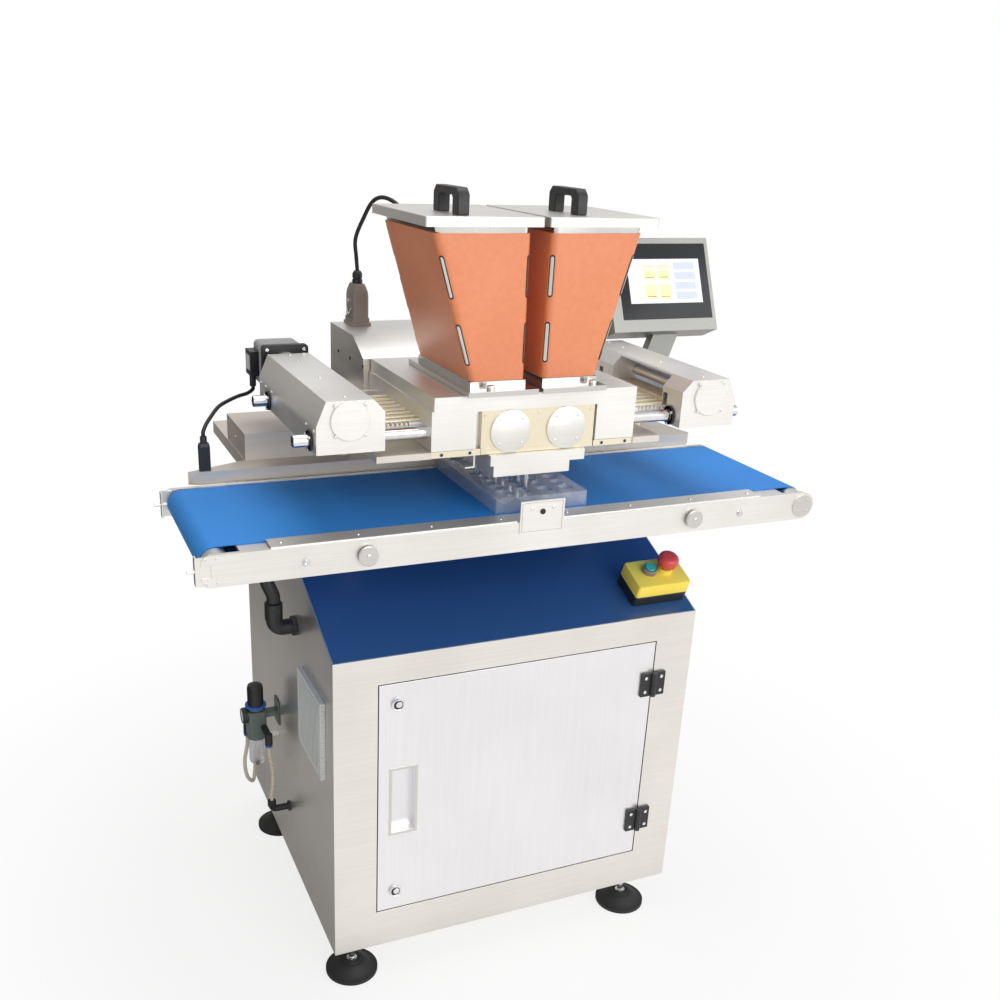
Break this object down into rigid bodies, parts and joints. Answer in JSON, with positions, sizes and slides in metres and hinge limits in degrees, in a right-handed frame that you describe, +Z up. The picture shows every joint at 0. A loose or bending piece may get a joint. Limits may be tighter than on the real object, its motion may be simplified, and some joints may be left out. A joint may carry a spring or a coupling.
{
  "type": "chocolate depositor",
  "caption": "Floor-standing chocolate depositor: sheet cabinet, belt conveyor with a mould, heated twin hoppers over a piston head with side drive beams, valve drive and touch panel.",
  "frame": {"origin": "on the floor, under the middle of the machine's box", "axes": "+X along the belt from infeed to outfeed, +Y from the door to the back, +Z up"},
  "size_m": [1.185, 0.723, 1.44],
  "materials": {
    "steel": "brushed",
    "alloy": "ground",
    "chrome": "polished",
    "champagne": "anodised",
    "black_plastic": "matte",
    "black_rubber": "matte",
    "grey_paint": "satin",
    "grey_plastic": "satin",
    "light_grey_plastic": "matte",
    "dark_blue_paint": "satin",
    "belt_blue": "matte",
    "orange_silicone": "satin",
    "yellow_plastic": "satin",
    "teal_plastic": "gloss",
    "red_plastic": "gloss",
    "clear_plastic": "clear",
    "hose_plastic": "translucent"
  },
  "bodies": {
    "machine": {"cabinet_shell": "steel", "upper_hinge_frame_leaf": "black_plastic", "lower_hinge_frame_leaf": "black_plastic", "vent_filter": "light_grey_plastic", "regulator_body": "grey_paint", "hose_elbow": "black_plastic", "conduit_elbow": "black_plastic", "top_panel": "dark_blue_paint", "control_box": "yellow_plastic", "front_rail": "steel", "conveyor_frame": "steel", "conveyor_belt": "belt_blue", "machine_bed": "steel", "head_block": "alloy", "front_plate": "champagne", "nozzle_block": "alloy", "valve_housing": "steel", "cable_connector": "grey_plastic", "left_hopper": "steel", "right_hopper": "steel", "left_jacket": "orange_silicone", "right_jacket": "orange_silicone", "left_front_guide_shaft": "chrome", "left_rear_guide_shaft": "chrome", "right_front_guide_shaft": "chrome", "right_rear_guide_shaft": "chrome", "outlet_hose": "hose_plastic", "supply_hose": "hose_plastic", "conduit": "black_rubber", "heater_cable": "black_rubber", "motor_cable": "black_rubber", "motor_plug": "black_plastic"},
    "cabinet_door": {"cabinet_door": "steel", "upper_hinge_door_leaf": "black_plastic", "lower_hinge_door_leaf": "black_plastic"},
    "upper_lock": {"upper_lock": "chrome"},
    "lower_lock": {"lower_lock": "chrome"},
    "front_left_foot": {"front_left_foot": "black_rubber"},
    "front_right_foot": {"front_right_foot": "black_rubber"},
    "rear_left_foot": {"rear_left_foot": "black_rubber"},
    "rear_right_foot": {"rear_right_foot": "black_rubber"},
    "start_button": {"start_button": "teal_plastic"},
    "stop_button": {"stop_button": "red_plastic"},
    "regulator_knob": {"regulator_knob": "black_plastic"},
    "drive_drum": {"drive_drum": "steel"},
    "idler_roller": {"idler_roller": "steel"},
    "mould": {"chocolate_mould": "clear_plastic"},
    "left_beam": {"left_beam": "alloy", "left_piston_set": "champagne", "left_motor": "grey_paint"},
    "right_beam": {"right_beam": "alloy", "right_piston_set": "champagne", "right_motor": "grey_paint"},
    "left_pinion": {"left_pinion": "steel"},
    "right_pinion": {"right_pinion": "steel"},
    "left_valve": {"left_valve_rotor": "steel"},
    "right_valve": {"right_valve_rotor": "steel"},
    "left_lid": {"left_lid": "steel"},
    "right_lid": {"right_lid": "steel"},
    "touch_panel": {"hmi_case": "steel"}
  },
  "joints": [
    {"name": "door_hinge", "type": "hinge", "parent": "machine", "child": "cabinet_door", "pos_m": [0.2885, -0.3048, 0.3819], "axis": [0, 0, 1], "range_deg": [0, 110]},
    {"name": "upper_lock_turn", "type": "hinge", "parent": "cabinet_door", "child": "upper_lock", "pos_m": [-0.2379, -0.2985, 0.5824], "axis": [0, 1, 0], "range_deg": [0, 90]},
    {"name": "lower_lock_turn", "type": "hinge", "parent": "cabinet_door", "child": "lower_lock", "pos_m": [-0.2379, -0.2985, 0.1814], "axis": [0, -1, 0], "range_deg": [0, 90]},
    {"name": "front_left_foot_turn", "type": "hinge", "parent": "machine", "child": "front_left_foot", "pos_m": [-0.3165, -0.2765, 0.06], "axis": [0, 0, 1], "continuous": true},
    {"name": "front_right_foot_turn", "type": "hinge", "parent": "machine", "child": "front_right_foot", "pos_m": [0.2825, -0.2765, 0.06], "axis": [0, 0, 1], "continuous": true},
    {"name": "rear_left_foot_turn", "type": "hinge", "parent": "machine", "child": "rear_left_foot", "pos_m": [-0.3305, 0.2355, 0.06], "axis": [0, 0, 1], "continuous": true},
    {"name": "rear_right_foot_turn", "type": "hinge", "parent": "machine", "child": "rear_right_foot", "pos_m": [0.2965, 0.2355, 0.06], "axis": [0, 0, 1], "continuous": true},
    {"name": "start_press", "type": "slide", "parent": "machine", "child": "start_button", "axis": [0, 0.3891, -0.9212], "range_m": [0, 0.004], "stiffness_N_per_m": 300, "springref_m": -0.006},
    {"name": "stop_press", "type": "slide", "parent": "machine", "child": "stop_button", "axis": [0, 0.3891, -0.9212], "range_m": [0, 0.005]},
    {"name": "regulator_knob_turn", "type": "hinge", "parent": "machine", "child": "regulator_knob", "pos_m": [-0.4025, 0.1155, 0.415], "axis": [0, 0, 1], "range_deg": [-720, 720]},
    {"name": "drive_drum_turn", "type": "hinge", "parent": "machine", "child": "drive_drum", "pos_m": [0.542, -0.177, 0.8917], "axis": [0, 1, 0], "continuous": true},
    {"name": "idler_roller_turn", "type": "hinge", "parent": "machine", "child": "idler_roller", "pos_m": [-0.5455, -0.177, 0.8917], "axis": [0, 1, 0], "continuous": true},
    {"name": "mould_travel", "type": "slide", "parent": "machine", "child": "mould", "axis": [1, 0, 0], "range_m": [-0.45, 0.43]},
    {"name": "left_beam_slide", "type": "slide", "parent": "machine", "child": "left_beam", "axis": [1, 0, 0], "range_m": [-0.012, 0.03]},
    {"name": "right_beam_slide", "type": "slide", "parent": "machine", "child": "right_beam", "axis": [-1, 0, 0], "range_m": [-0.012, 0.03]},
    {"name": "left_pinion_turn", "type": "hinge", "parent": "left_beam", "child": "left_pinion", "pos_m": [-0.3295, -0.1495, 1.102], "axis": [0, 1, 0], "range_deg": [-28, 69.5]},
    {"name": "right_pinion_turn", "type": "hinge", "parent": "right_beam", "child": "right_pinion", "pos_m": [0.3285, -0.1495, 1.102], "axis": [0, 1, 0], "range_deg": [-69.5, 28]},
    {"name": "left_valve_turn", "type": "hinge", "parent": "machine", "child": "left_valve", "pos_m": [-0.0505, -0.1495, 1.064], "axis": [0, 1, 0], "range_deg": [0, 90]},
    {"name": "right_valve_turn", "type": "hinge", "parent": "machine", "child": "right_valve", "pos_m": [0.0525, -0.1495, 1.064], "axis": [0, 1, 0], "range_deg": [0, 90]},
    {"name": "left_lid_lift", "type": "slide", "parent": "machine", "child": "left_lid", "axis": [0, 0, 1], "range_m": [0, 0.2]},
    {"name": "right_lid_lift", "type": "slide", "parent": "machine", "child": "right_lid", "axis": [0, 0, 1], "range_m": [0, 0.2]},
    {"name": "touch_panel_tilt", "type": "hinge", "parent": "machine", "child": "touch_panel", "pos_m": [0.4715, 0.0905, 1.112], "axis": [1, 0, 0], "range_deg": [-10, 15]}
  ],
  "couplings": [
    {"joint": "idler_roller_turn", "follows": "drive_drum_turn", "ratio": 1},
    {"joint": "left_pinion_turn", "follows": "left_beam_slide", "rad_per_m": 40},
    {"joint": "right_pinion_turn", "follows": "right_beam_slide", "rad_per_m": -40},
    {"joint": "right_valve_turn", "follows": "left_valve_turn", "ratio": 1}
  ]
}
